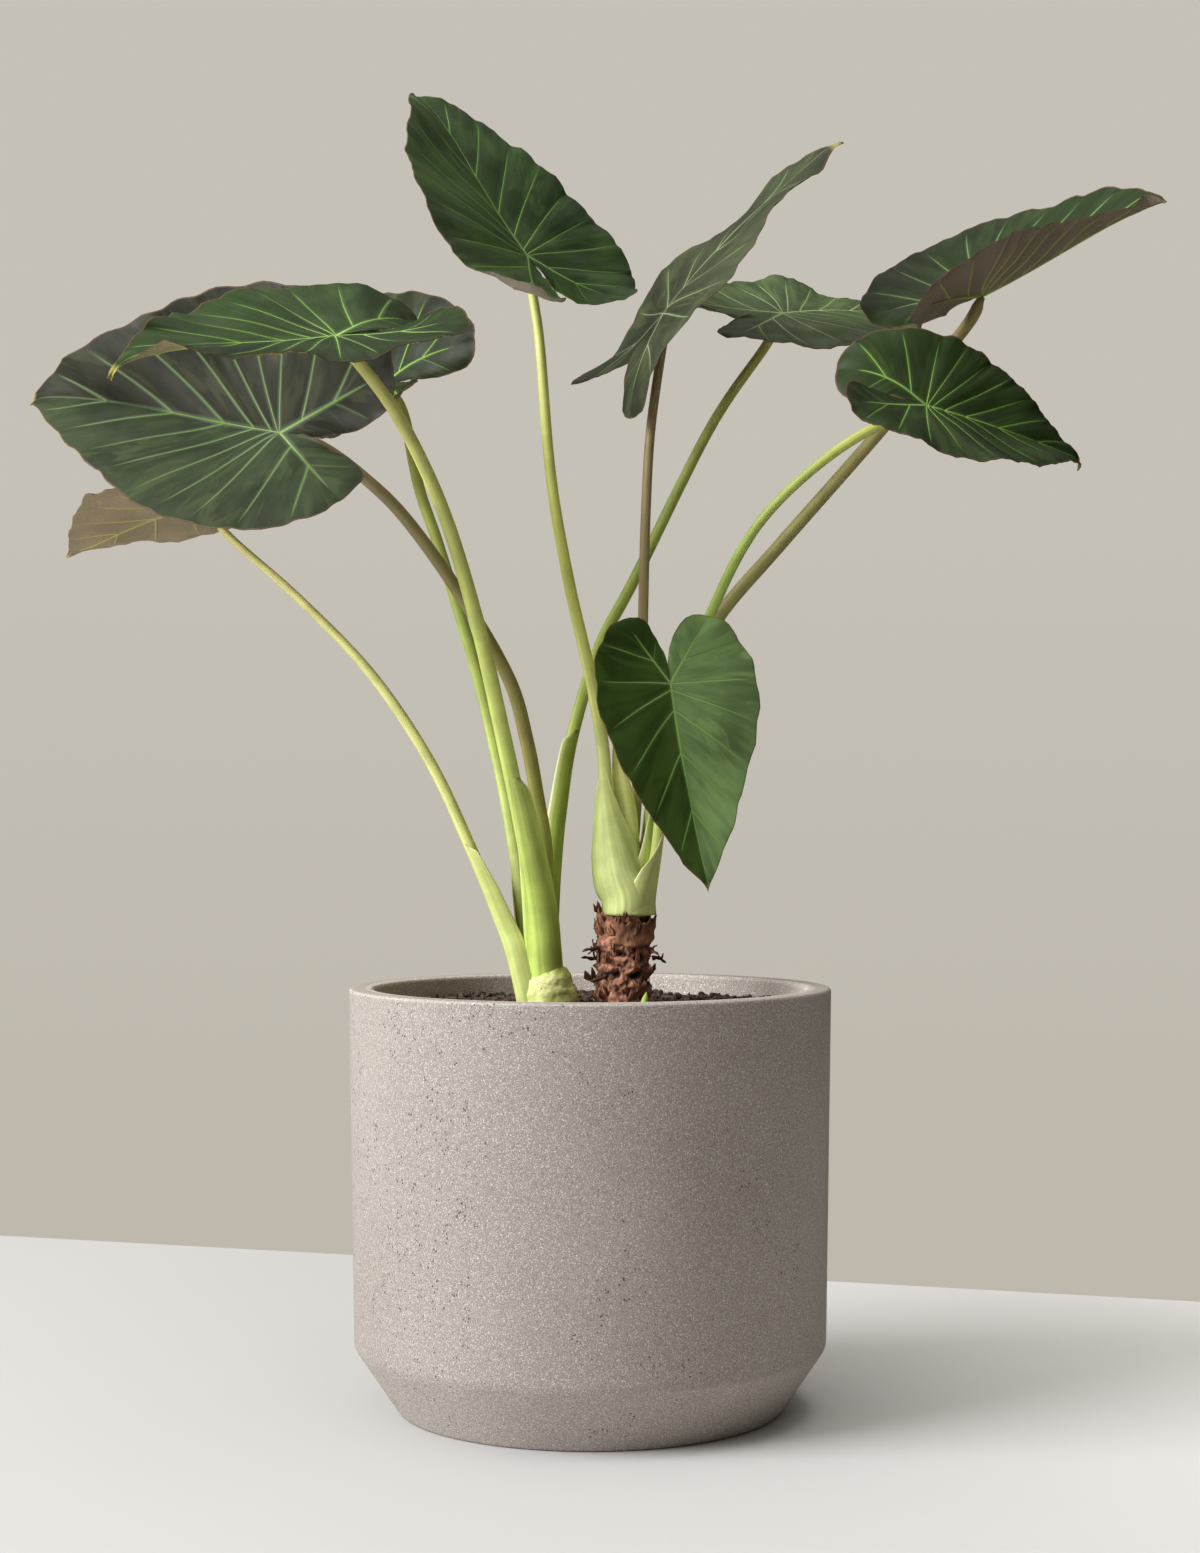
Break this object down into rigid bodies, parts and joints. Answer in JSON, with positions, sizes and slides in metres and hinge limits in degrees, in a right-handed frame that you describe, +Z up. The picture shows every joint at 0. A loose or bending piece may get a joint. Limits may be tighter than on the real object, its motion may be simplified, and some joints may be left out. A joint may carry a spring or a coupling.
{
  "type": "potted alocasia",
  "caption": "Alocasia houseplant with arrow-shaped veined leaves on long arching petioles from two crowns, in a round stone-look planter with a sloped foot.",
  "frame": {"origin": "middle of the pot's underside, where the pot's axis meets the floor", "axes": "+Z up along the pot's axis, the plant's front faces -Y, +X to the right seen from the front"},
  "size_m": [0.8429, 0.5303, 0.9925],
  "materials": {
    "pot": "matte",
    "soil": "matte",
    "blade": "satin",
    "petiole": "satin",
    "corm": "matte",
    "bark": "matte",
    "root": "matte"
  },
  "bodies": {
    "root": {"pot": "pot", "potting_soil": "soil", "left_corm": "corm", "right_rhizome": "bark", "dried_sheath_collar": "bark", "root_stub_1": "root", "root_stub_2": "root", "root_stub_3": "root", "root_stub_4": "root", "root_stub_5": "root", "root_stub_6": "root", "side_shoot": "petiole", "young_leaf": "petiole", "top_petiole": "petiole", "large_left_petiole": "petiole", "upper_left_petiole": "petiole", "rear_left_petiole": "petiole", "low_left_petiole": "petiole", "edge_on_petiole": "petiole", "rear_right_petiole": "petiole", "upper_right_petiole": "petiole", "lower_right_petiole": "petiole", "front_petiole": "petiole", "top_blade": "blade", "large_left_blade": "blade", "upper_left_blade": "blade", "rear_left_blade": "blade", "low_left_blade": "blade", "edge_on_blade": "blade", "rear_right_blade": "blade", "upper_right_blade": "blade", "lower_right_blade": "blade", "front_blade": "blade"}
  },
  "joints": []
}
